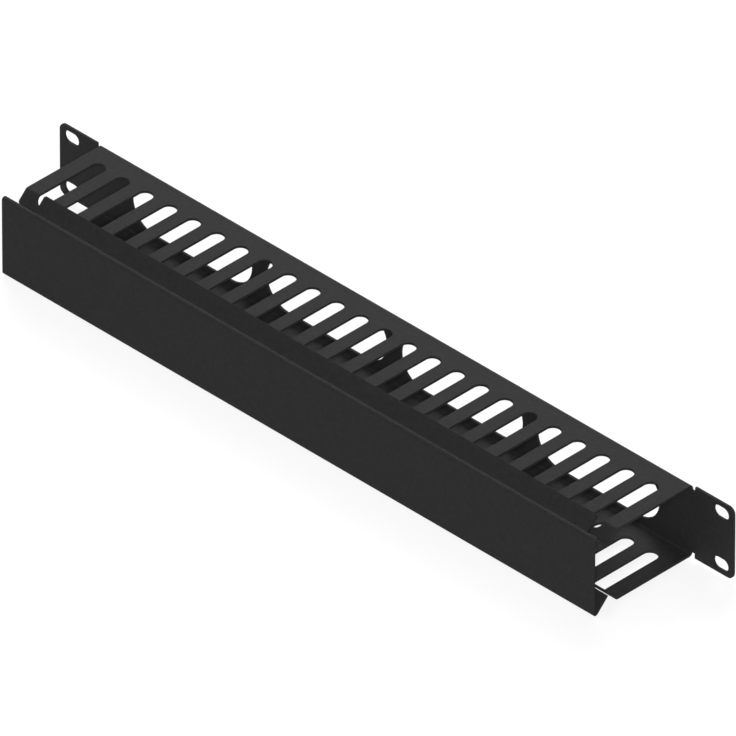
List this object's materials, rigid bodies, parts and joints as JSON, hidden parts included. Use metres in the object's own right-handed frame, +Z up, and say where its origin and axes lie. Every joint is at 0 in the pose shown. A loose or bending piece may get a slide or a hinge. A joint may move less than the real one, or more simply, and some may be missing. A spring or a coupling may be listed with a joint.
{
  "type": "horizontal cable manager",
  "caption": "Rack-mounted horizontal cable channel with slotted top and bottom plates, mounting ears, rear pass-through openings and a clip-on front cover.",
  "frame": {"origin": "centre of the four mounting slots, on the rear face of the ears", "axes": "+X along the panel's width, +Y into the rack, +Z up"},
  "size_m": [0.4826, 0.0717, 0.0478],
  "materials": {
    "powder_coat": "satin black fine-texture powder coat on folded steel"
  },
  "bodies": {
    "channel_body": {"channel": "powder_coat"},
    "cover_body": {"cover": "powder_coat"}
  },
  "joints": [
    {"name": "cover_pull", "type": "slide", "parent": "channel_body", "child": "cover_body", "axis": [0, -1, 0], "range_m": [0, 0.03]}
  ]
}
